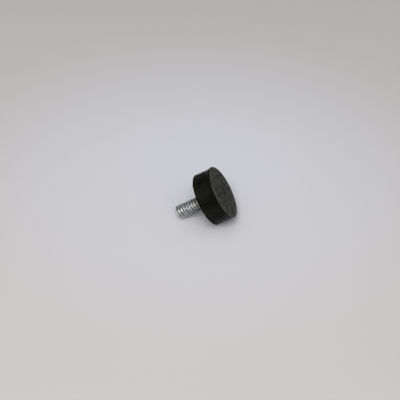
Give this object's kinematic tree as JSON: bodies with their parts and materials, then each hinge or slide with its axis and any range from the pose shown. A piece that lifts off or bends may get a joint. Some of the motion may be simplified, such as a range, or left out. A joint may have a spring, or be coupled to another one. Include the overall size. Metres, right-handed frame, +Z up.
{
  "type": "rubber foot with threaded stud",
  "caption": "Round black rubber foot with a zinc-plated threaded stud moulded into its mounting face, for screwing under a case, bench or instrument.",
  "frame": {"origin": "centre of the puck's flat floor face", "axes": "+Z up along the stud, out of the mounting face; X and Y are alike, with two of the buried head's flats facing along Y"},
  "size_m": [0.0238, 0.0238, 0.0229],
  "materials": {
    "black_rubber": "moulded, matt with a faint sheen",
    "zinc_plated_steel": "bright zinc plate over a rolled thread"
  },
  "bodies": {
    "root": {"rubber_body": "black_rubber", "threaded_stud": "zinc_plated_steel"}
  },
  "joints": []
}
